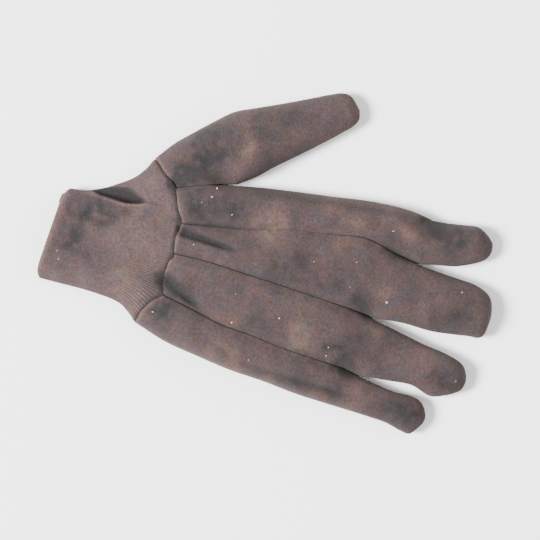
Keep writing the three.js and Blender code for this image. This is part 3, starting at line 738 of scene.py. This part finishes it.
def mark_wear_and_shading(piece):
    """Marks how much lighter and darker each corner is, 0 to 1 each: wearing, blotches, painted shade and
    highlights.
    """
    places = np.empty(len(piece.data.vertices) * 3)
    piece.data.vertices.foreach_get("co", places)
    x, y, z = (places.reshape(-1, 3) / MM + (*OUTLINE_MIDDLE, 0)).T
    marked_x = x + WEAR_AND_SHADING_WANDER * waves(x, y, WEAR_AND_SHADING_WANDER_SIZE, seed=5.5)
    marked_y = y + WEAR_AND_SHADING_WANDER * waves(x, y, WEAR_AND_SHADING_WANDER_SIZE, seed=8.2)
    wear_and_shading = np.zeros(len(x))
    for mark in WEAR_AND_SHADING:
        away = (marked_x - mark["x"]) ** 2 + (marked_y - mark["y"]) ** 2
        wear_and_shading += mark["shade"] * np.exp(-away / (WEAR_AND_SHADING_SPREAD * mark["size"]) ** 2)
    wear_and_shading *= 1 + WEAR_AND_SHADING_MOTTLE * waves(x, y, WEAR_AND_SHADING_MOTTLE_SIZE, seed=1.5)
    # Painted shade in the creases and pits, and beside the seams of the back
    wear_and_shading -= relief(x, y, "shade") + seam_shade(x, y)
    knitted = piece.name.startswith("knit")
    if knitted:
        # Painted shadow in the wrist's fold, and painted highlights on its front edge and on the rim
        wear_and_shading += fold_shadow_and_highlight(x, y) + rim_highlight(x, y)
    wear_and_shading *= smooth(z, *WEAR_AND_SHADING_LOWEST)
    from_seam = from_wrist_seam(x, y)
    # Painted shade on the knit beside the wrist seam, and a painted highlight on the jersey's rolled edge
    # there
    if knitted:
        wear_and_shading -= np.exp(-((from_seam / WRIST_SEAM_SHADE_WIDTH) ** 2))
    else:
        wear_and_shading += WRIST_SEAM_HIGHLIGHT * np.exp(-((from_seam / WRIST_SEAM_HIGHLIGHT_WIDTH) ** 2))
    # Two attributes: fade with painted highlights, and soil with painted shade
    for name, share in (("faded", wear_and_shading), ("soiled", -wear_and_shading)):
        layer = piece.data.attributes.new(name, "FLOAT", "POINT")
        layer.data.foreach_set("value", np.clip(share, 0, 1))


def fluff(pieces):
    """White lint caught on the cloth, each a small uneven tuft."""
    noise.seed_set(LINT_SEED)
    tufts = []
    for number, speck in enumerate(LINT):
        x, y = (speck["x"] - OUTLINE_MIDDLE[0]) * MM, (speck["y"] - OUTLINE_MIDDLE[1]) * MM
        hits = [piece.ray_cast((x, y, ABOVE_GLOVE * MM), (0, 0, -1)) for piece in pieces]
        top = max((hit[1].z for hit in hits if hit[0]), default=None)
        if top is None:
            continue
        size = speck["size"] * MM
        deselect()
        bpy.ops.mesh.primitive_ico_sphere_add(subdivisions=2, radius=LINT_BULK * size, location=(x, y, top))
        tuft = bpy.context.object
        tuft.scale = (1 + 0.5 * math.sin(3 * number), 1 + 0.4 * math.cos(5 * number), LINT_FLATNESS)
        tuft.rotation_euler.z = LINT_TURN * number
        bpy.ops.object.transform_apply(location=True, rotation=True, scale=True)
        for vertex in tuft.data.vertices:
            vertex.co += LINT_UNEVENNESS * size * noise.noise_vector(vertex.co * LINT_GRAIN)
        tufts.append(tuft)
    return sew_together("lint", tufts)


def dress(piece, material, node=None):
    """Gives a piece its finish and its place in the frame."""
    piece.data.materials.clear()
    piece.data.materials.append(material)
    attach(piece, "root")
    if node:
        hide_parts(node)


# The knitted wrist
def wrist_seam_line():
    """The wrist seam in plan, from the thumb's outer side to the little finger's."""
    points = []
    for name in ("thumb", *FINGERS):
        strip = STRIPS[name]
        across = np.linspace(1, -1, SPAN_POINTS + 1)[: None if name == "little" else -1]
        start = np.zeros(1)
        ends = strip.edge(-1, start, 0), strip.edge(1, start, 0)
        line = mix(ends[0], ends[1], ((1 + across) / 2)[:, None])
        line[:, 0] -= wrist_bulge(strip, start, across) + WRIST_SEAM_GAP
        points.append(line)
    return np.concatenate(points)


WRIST_SEAM_LINE = wrist_seam_line()


def wrist_ring(s, count):
    """A ring of the wrist's outer face at a share of its length, in even steps of cloth."""
    across = columns_across(RING_COLUMNS)
    seam_share = np.linspace(1, -1, len(WRIST_SEAM_LINE))[::-1]
    seam_x, seam_y = (np.interp(across, seam_share, line) for line in WRIST_SEAM_LINE[::-1].T)
    share = (1 + across) / 2
    flares = curve(WRIST, "little_flare", s), curve(WRIST, "thumb_flare", s)
    flare = mix(*flares, smooth(across, -1, 1))
    x = mix(OPENING_SKEW * (share - 0.5) + OPENING_CORNER * across**CORNER_SHARPNESS, seam_x, s)
    y = mix(WRIST_OFFSET + WRIST_WIDTH / 2 * across, seam_y, flare)
    faces = []
    for face, radius in ((1, BACK_ROUNDING), (-1, PALM_ROUNDING)):
        fill = rounded(y[0] - y, radius) * rounded(y - y[-1], radius)
        height = WRIST_HEIGHT * curve(WRIST, "crown", s)
        reach = height - PARTING_HEIGHT if face > 0 else PARTING_HEIGHT
        tab = TAB_LENGTH * (1 - smooth(s, 0, TAB_REACH)) * smooth(y, *TAB_START) * (1 - smooth(y, *TAB_END))
        ring = np.column_stack([x - tab * (face < 0), y, PARTING_HEIGHT + face * reach * fill])
        faces.append(ring if face > 0 else ring[::-1])
    ring = np.concatenate([faces[0], faces[1][1:]])
    walked = np.concatenate([[0], np.cumsum(np.linalg.norm(np.diff(ring[:, 1:], axis=0), axis=1))])
    even = np.linspace(0, walked[-1], count + 1)
    return np.column_stack([np.interp(even, walked, ring[:, k]) for k in range(3)])


def behind_fold(x, y):
    """How far behind the fold's front edge a place is, and how wide the fold is open there."""
    return y - curve_at(WRIST_FOLD, "edge", x), np.maximum(curve_at(WRIST_FOLD, "open", x), 0)


def sink_wrist(ring, s, lowest):
    """Sinks the wrist's back into the fold beside it, and into its pits and swells."""
    x, y, z = ring.T
    behind, opened = behind_fold(x, y)
    hole = smooth(behind, *FOLD_DROP) * (1 - smooth(behind, FOLD_REACH * opened, opened + FOLD_LEAST))
    hole *= np.minimum(opened / FOLD_FULL, 1)
    rise = np.maximum(z - PARTING_HEIGHT, 0)
    full = WRIST_HEIGHT * curve(WRIST, "crown", s) - PARTING_HEIGHT
    sunk = curve(WRIST, "fold", s) * smooth(behind, -FOLD_SLOPE / 2, FOLD_SLOPE / 2)
    lower = rise * sunk * (1 - (FOLD_HEIGHT - PARTING_HEIGHT) / full)
    uneven = relief(x, y, "depth") - swell(x, y, WRIST_SWELLS)
    lower += np.minimum(uneven, WRIST_DEEPEST * rise) * smooth(rise, *WRIST_LOOSE)
    sunken = ring.copy()
    sunken[:, 2] = z - lower
    deep = np.maximum(sunken[:, 2] - lowest, 0)
    sunken[:, 2] -= deep * hole * (z > PARTING_HEIGHT)
    return sunken


def ring_out(ring):
    """The outward direction of each point of a ring, in its own plane."""
    step = np.roll(ring[:-1], -1, axis=0) - np.roll(ring[:-1], 1, axis=0)
    step = np.concatenate([step, step[:1]])
    out = np.column_stack([np.zeros(len(step)), step[:, 2], -step[:, 1]])
    return out / np.linalg.norm(out, axis=1)[:, None]


def rib_show(s, y):
    """How clearly the ribs show: best near the wrist seam, on the little finger's side."""
    return curve(WRIST, "rib", s) * (1 - RIB_FADE * smooth(y, *RIB_FADE_PLACE))


def wrist_sections(count):
    """The rings of the doubled knit, from the wrist seam's inside over the rim to its outside.

    Each ring comes with how clearly the ribs show along it.
    """
    rib = np.abs(np.cos(np.pi * np.arange(count + 1) * RIBS / count)) ** RIB_SHARPNESS - RIB_MIDDLE
    sections, shows = [], []

    def add(places, show):
        places[:, 2] = np.maximum(places[:, 2], 0)
        sections.append(places)
        shows.append(np.broadcast_to(show, len(places)))

    for s in np.linspace(1, 0, INNER_ROWS):
        ring = wrist_ring(s, count)
        add(sink_wrist(ring - ring_out(ring) * KNIT, s, FOLD_FLOOR - KNIT), 0)
    ring = wrist_ring(0.0, count)
    out = ring_out(ring)
    for turn in np.linspace(0, np.pi, RIM_ROWS + 2)[1:-1]:
        rim = ring - out * KNIT / 2 * (1 + math.cos(turn))
        rim[:, 0] -= KNIT / 2 * math.sin(turn)
        show = rib_show(0, ring[:, 1]) * smooth(turn, *RIB_OVER_RIM)
        add(rim + out * (rib * show)[:, None], show)
    for s in np.linspace(0, 1, OUTER_ROWS):
        ring = wrist_ring(s, count)
        out = ring_out(ring)
        show = rib_show(s, ring[:, 1])
        raised = rib * show - tuck((1 - s) * WRIST_LENGTH, KNIT_ROLL)
        add(sink_wrist(ring, s, FOLD_FLOOR) + out * raised[:, None], show)
    for end in (sections[-1] - out * KNIT_TUCK, sections[0].copy()):
        end[:, 0] += KNIT_ALLOWANCE
        add(end, 0)
    sections.append(sections[0])
    shows.append(shows[0])
    return np.stack(sections), np.stack(shows)


def knit_wrist():
    """The doubled rib knit: a wall from the wrist seam to the opening, over its rim and back."""
    count = RIBS * POINTS_PER_RIB
    places, shows = wrist_sections(count)
    cloth, u, v = grid_cloth("knit_wrist_cloth", count, len(places) - 1)
    row = np.rint(v * (len(places) - 1)).astype(int)
    column = np.rint(u * count).astype(int)
    step = np.linalg.norm(np.diff(places[:, count // 4], axis=0), axis=1)
    along = np.concatenate([[0], np.cumsum(step)])
    lay(cloth, places[row, column], np.column_stack([column / POINTS_PER_RIB, along[row]]))
    piece = sew_together("knit_wrist_cloth", [cloth])
    mark_grooves(piece, along, shows)
    bpy.ops.object.shade_smooth()
    return piece


def mark_grooves(piece, along, shows):
    """Marks how deep in a groove between two ribs each corner of the knit is, from 0 to 1."""
    corner = np.empty(len(piece.data.loops), dtype=int)
    piece.data.loops.foreach_get("vertex_index", corner)
    weave = np.empty(len(piece.data.loops) * 2)
    piece.data.uv_layers[0].data.foreach_get("uv", weave)
    rib_share, run = weave.reshape(-1, 2).T / MM
    nearest = np.abs(run[:, None] - along[None, ::4]).argmin(axis=1) * 4
    show = shows[nearest, np.rint(rib_share * POINTS_PER_RIB).astype(int)]
    groove = np.zeros(len(piece.data.vertices))
    groove[corner] = (1 - np.abs(np.cos(np.pi * rib_share))) * np.minimum(show / FULL_GROOVE, 1)
    layer = piece.data.attributes.new("groove", "FLOAT", "POINT")
    layer.data.foreach_set("value", groove)


# Finishes
class Finish:
    """A procedural material in the making. The settings are its shader's."""

    def __init__(self, name, **settings):
        self.material = bpy.data.materials.new(name)
        self.material.use_nodes = True
        self.material.node_tree.nodes.clear()
        output = self.add("ShaderNodeOutputMaterial")
        self.shader = self.add("ShaderNodeBsdfPrincipled", **settings)
        self.link(self.shader.outputs[0], output.inputs[0])

    def add(self, kind, **settings):
        """Adds a node. Each setting is one of its own or the value of one of its inputs."""
        node = self.material.node_tree.nodes.new(kind)
        for name, value in settings.items():
            if hasattr(node, name):
                setattr(node, name, value)
            else:
                node.inputs[name.replace("_", " ")].default_value = value
        return node

    def link(self, value, socket):
        self.material.node_tree.links.new(value, socket)

    def cloud(self, place, turn=0.0, **settings):
        node = self.add("ShaderNodeTexNoise", noise_dimensions="4D", W=turn, **settings)
        self.link(place, node.inputs["Vector"])
        return node.outputs["Fac"]

    def mark(self, attribute, most):
        """A mark that is laid on the piece's corners, from 0 to 1, as a share from 0 to most."""
        node = self.add("ShaderNodeAttribute", attribute_name=attribute)
        return self.stretch(node.outputs["Fac"], (0, 1), (0, most))

    def ramp(self, value, positions, colours):
        node = self.add("ShaderNodeValToRGB")
        for element, position, colour in zip(node.color_ramp.elements, positions, colours):
            element.position = position
            element.color = (*colour, 1)
        self.link(value, node.inputs["Fac"])
        return node.outputs["Color"]

    def stretch(self, value, source, target):
        """Maps a value from one range to another."""
        ends = zip(("From_Min", "From_Max", "To_Min", "To_Max"), (*source, *target))
        node = self.add("ShaderNodeMapRange", **dict(ends))
        self.link(value, node.inputs["Value"])
        return node.outputs[0]

    def dye(self, colour, other, share):
        """Mixes a fixed colour into a colour, by a share."""
        node = self.add("ShaderNodeMix", data_type="RGBA")
        self.link(colour, node.inputs["A"])
        node.inputs["B"].default_value = (*other, 1)
        self.link(share, node.inputs["Factor"])
        return node.outputs["Result"]

    def tint(self, colour, other, share=None):
        """Multiplies a colour by another, all over or by a share."""
        node = self.add("ShaderNodeMix", data_type="RGBA", blend_type="MULTIPLY")
        self.link(colour, node.inputs["A"])
        self.link(other, node.inputs["B"])
        node.inputs["Factor"].default_value = 1
        if share is not None:
            self.link(share, node.inputs["Factor"])
        return node.outputs["Result"]


# Each cloth's colours: its mottle's light and dark, fade with painted highlights, soil with painted shade
JERSEY_COLOURS = {
    "light": (0.048, 0.0295, 0.0305),
    "dark": (0.0235, 0.0195, 0.0205),
    "faded": (0.086, 0.053, 0.042),
    "soiled": (0.0115, 0.0115, 0.0125),
}
KNIT_COLOURS = {
    "light": (0.0615, 0.039, 0.0405),
    "dark": (0.031, 0.0245, 0.0265),
    "faded": (0.1, 0.066, 0.056),
    "soiled": (0.0125, 0.0125, 0.0135),
}
# Painted shade in the knit's grooves between its ribs
KNIT_GROOVE_SHADE = (0.022, 0.017, 0.018)
MOST_SOIL_AND_SHADE, MOST_FADE_AND_HIGHLIGHT, MOST_GROOVE_SHADE = 0.92, 0.65, 0.62
GREENISH, REDDISH = (0.82, 1.03, 1), (1.2, 0.97, 0.96)
YELLOWISH, BLUISH = (1.03, 1.01, 0.86), (0.97, 0.99, 1.15)


def cotton(name, dye, seed):
    """Mottled, worn cotton. Returns its finish, its colour and its grain."""
    finish = Finish(
        name, Roughness=0.95, Specular_IOR_Level=0.1,
        Sheen_Weight=0.08, Sheen_Roughness=0.7, Sheen_Tint=(0.8, 0.66, 0.6, 1),
    )
    corner = finish.add("ShaderNodeTexCoord")
    shift = finish.add("ShaderNodeMapping", Location=(seed, 0.37 * seed, 0))
    finish.link(corner.outputs["Object"], shift.inputs["Vector"])
    place = shift.outputs[0]

    mottle = finish.cloud(place, Scale=60, Detail=6, Roughness=0.65)
    colour = finish.ramp(mottle, (0.22, 0.78), (dye["dark"], dye["light"]))
    # Soil with painted shade, then fade with painted highlights, from the marks on the corners
    colour = finish.dye(colour, dye["soiled"], finish.mark("soiled", MOST_SOIL_AND_SHADE))
    colour = finish.dye(colour, dye["faded"], finish.mark("faded", MOST_FADE_AND_HIGHLIGHT))
    blotches = finish.cloud(place, Scale=130, Detail=5, Roughness=0.75)
    colour = finish.tint(colour, finish.ramp(blotches, (0.33, 0.67), (GREENISH, REDDISH)))
    blotches = finish.cloud(place, Scale=150, Detail=4, Roughness=0.75, turn=9.1)
    colour = finish.tint(colour, finish.ramp(blotches, (0.34, 0.66), (YELLOWISH, BLUISH)))
    grain = finish.cloud(place, Scale=620, Detail=4, Roughness=0.8)
    colour = finish.tint(colour, finish.stretch(grain, (0.32, 0.68), (0.6, 1.4)))
    return finish, colour, grain


def knitting(finish, grain, wales, courses):
    """Raises a knit's wales and courses, then the nap, into the surface. Returns the courses."""
    weave = finish.add("ShaderNodeUVMap", uv_map="UVMap")
    knitted = finish.add("ShaderNodeMath", operation="ADD")
    for socket, direction, scale in zip(knitted.inputs, "XY", (wales, courses)):
        band = finish.add(
            "ShaderNodeTexWave", bands_direction=direction, Scale=scale, Distortion=2.2, Detail_Scale=3
        )
        finish.link(weave.outputs["UV"], band.inputs["Vector"])
        finish.link(band.outputs["Fac"], socket)
    loops = finish.add("ShaderNodeBump", Strength=0.15, Distance=0.3 * MM)
    finish.link(knitted.outputs[0], loops.inputs["Height"])
    nap = finish.add("ShaderNodeBump", Strength=0.7, Distance=0.6 * MM)
    finish.link(grain, nap.inputs["Height"])
    finish.link(loops.outputs["Normal"], nap.inputs["Normal"])
    finish.link(nap.outputs["Normal"], finish.shader.inputs["Normal"])
    return band.outputs["Fac"]


def jersey(name, seed, across):
    """Fleecy cotton jersey. across is how clearly its courses show, most of all on the thumb."""
    finish, colour, grain = cotton(name, JERSEY_COLOURS, seed)
    courses = knitting(finish, grain, wales=240, courses=225)
    tone = finish.stretch(courses, (0, 1), (1 - across, 1 + across))
    colour = finish.tint(colour, tone, share=finish.stretch(grain, (0.36, 0.64), (0, 1)))
    finish.link(colour, finish.shader.inputs["Base Color"])
    return finish.material


def rib_knit(name, seed):
    """Fine rib knit, with painted shade in the grooves between its ribs."""
    finish, colour, grain = cotton(name, KNIT_COLOURS, seed)
    knitting(finish, grain, wales=300, courses=260)
    colour = finish.dye(colour, KNIT_GROOVE_SHADE, finish.mark("groove", MOST_GROOVE_SHADE))
    finish.link(colour, finish.shader.inputs["Base Color"])
    return finish.material


def lint_fibre():
    finish = Finish("white_lint", Roughness=0.9)
    place = finish.add("ShaderNodeTexCoord")
    uneven = finish.add("ShaderNodeTexNoise", Scale=3000, Detail=2)
    finish.link(place.outputs["Object"], uneven.inputs["Vector"])
    colour = finish.ramp(uneven.outputs["Fac"], (0.3, 0.7), ((0.3, 0.27, 0.25), (0.6, 0.58, 0.55)))
    finish.link(colour, finish.shader.inputs["Base Color"])
    return finish.material


# The five pieces of cloth and the lint on them
joined = 0  # the inset where a panel runs on into the next
palm = sew_together("palm_cloth", [
    strip_panel("index", -1, (SEAM_INSET, joined)),
    strip_panel("middle", -1, (joined, joined), side_seams=True),
    strip_panel("ring", -1, (joined, joined), side_seams=True),
    strip_panel("little", -1, (joined, joined)),
    strip_panel("index", 1),
    strip_panel("little", 1),
])
middle_back = sew_together("middle_finger_back_cloth", [strip_panel("middle", 1, side_seams=True)])
ring_back = sew_together("ring_finger_back_cloth", [strip_panel("ring", 1, side_seams=True)])
thumb = sew_together("thumb_cloth", [strip_panel("thumb", -1), strip_panel("thumb", 1)])
jersey_pieces = (palm, middle_back, ring_back, thumb)
for piece in jersey_pieces:
    thicken(piece, JERSEY)
wrist = knit_wrist()
for piece in (*jersey_pieces, wrist):
    mark_wear_and_shading(piece)
lint = fluff((*jersey_pieces, wrist))

dress(palm, jersey("palm_jersey", seed=0, across=0.1), "palm")
dress(middle_back, jersey("middle_back_jersey", seed=1.3, across=0.1), "middle_finger_back")
dress(ring_back, jersey("ring_back_jersey", seed=2.1, across=0.1), "ring_finger_back")
dress(thumb, jersey("thumb_jersey", seed=3.4, across=0.28), "thumb")
dress(wrist, rib_knit("wrist_knit", seed=4.6), "knit_wrist")
dress(lint, lint_fibre())

# Floor, light and camera
FLOOR_SIZE = 6  # metres, as are the lights' distances and sizes
FLOOR_DROP = 0.2
FLOOR_GREY = 0.92
AMBIENT = 0.82
PICTURE_TURN = math.radians(15)  # the picture's upright is turned this much from the glove's +Y
PICTURE_MIDDLE = (128.6, 12.7)
PICTURE_WIDTH = 315.9
CAMERA_HEIGHT = 1500
VIEW_HEIGHT = 9  # the height at which the picture's scale holds
SENSOR = 36

deselect()
bpy.ops.mesh.primitive_plane_add(size=FLOOR_SIZE, location=(0, 0, -FLOOR_DROP * MM))
floor = bpy.context.object
floor.name = "floor"
paper = Finish("pale_floor", Base_Color=(FLOOR_GREY, FLOOR_GREY, FLOOR_GREY, 1), Roughness=0.9)
floor.data.materials.append(paper.material)


def softbox(name, picture_angle, elevation, distance, size, power):
    """A square light, placed round the picture: 0 is to the right of it and 90 above it."""
    turn = math.radians(picture_angle) + PICTURE_TURN
    lift = math.radians(elevation)
    away = Vector((math.cos(lift) * math.cos(turn), math.cos(lift) * math.sin(turn), math.sin(lift)))
    aim = (-away).to_track_quat("-Z", "Y").to_euler()
    bpy.ops.object.light_add(type="AREA", location=distance * away, rotation=aim)
    light = bpy.context.object
    light.name = name
    light.data.size = size
    light.data.energy = power


softbox("key_softbox", picture_angle=184, elevation=46, distance=3, size=0.95, power=400)
softbox("fill_softbox", picture_angle=10, elevation=38, distance=1.8, size=1.6, power=32)

world = bpy.data.worlds.new("studio")
world.use_nodes = True
world.node_tree.nodes["Background"].inputs["Color"].default_value = (1, 1, 1, 1)
world.node_tree.nodes["Background"].inputs["Strength"].default_value = AMBIENT
bpy.context.scene.world = world

above = [(a - b) * MM for a, b in zip(PICTURE_MIDDLE, OUTLINE_MIDDLE)]
bpy.ops.object.camera_add(location=(*above, CAMERA_HEIGHT * MM), rotation=(0, 0, PICTURE_TURN))
camera = bpy.context.object
camera.data.sensor_width = SENSOR
camera.data.lens = SENSOR * (CAMERA_HEIGHT - VIEW_HEIGHT) / PICTURE_WIDTH
bpy.context.scene.camera = camera
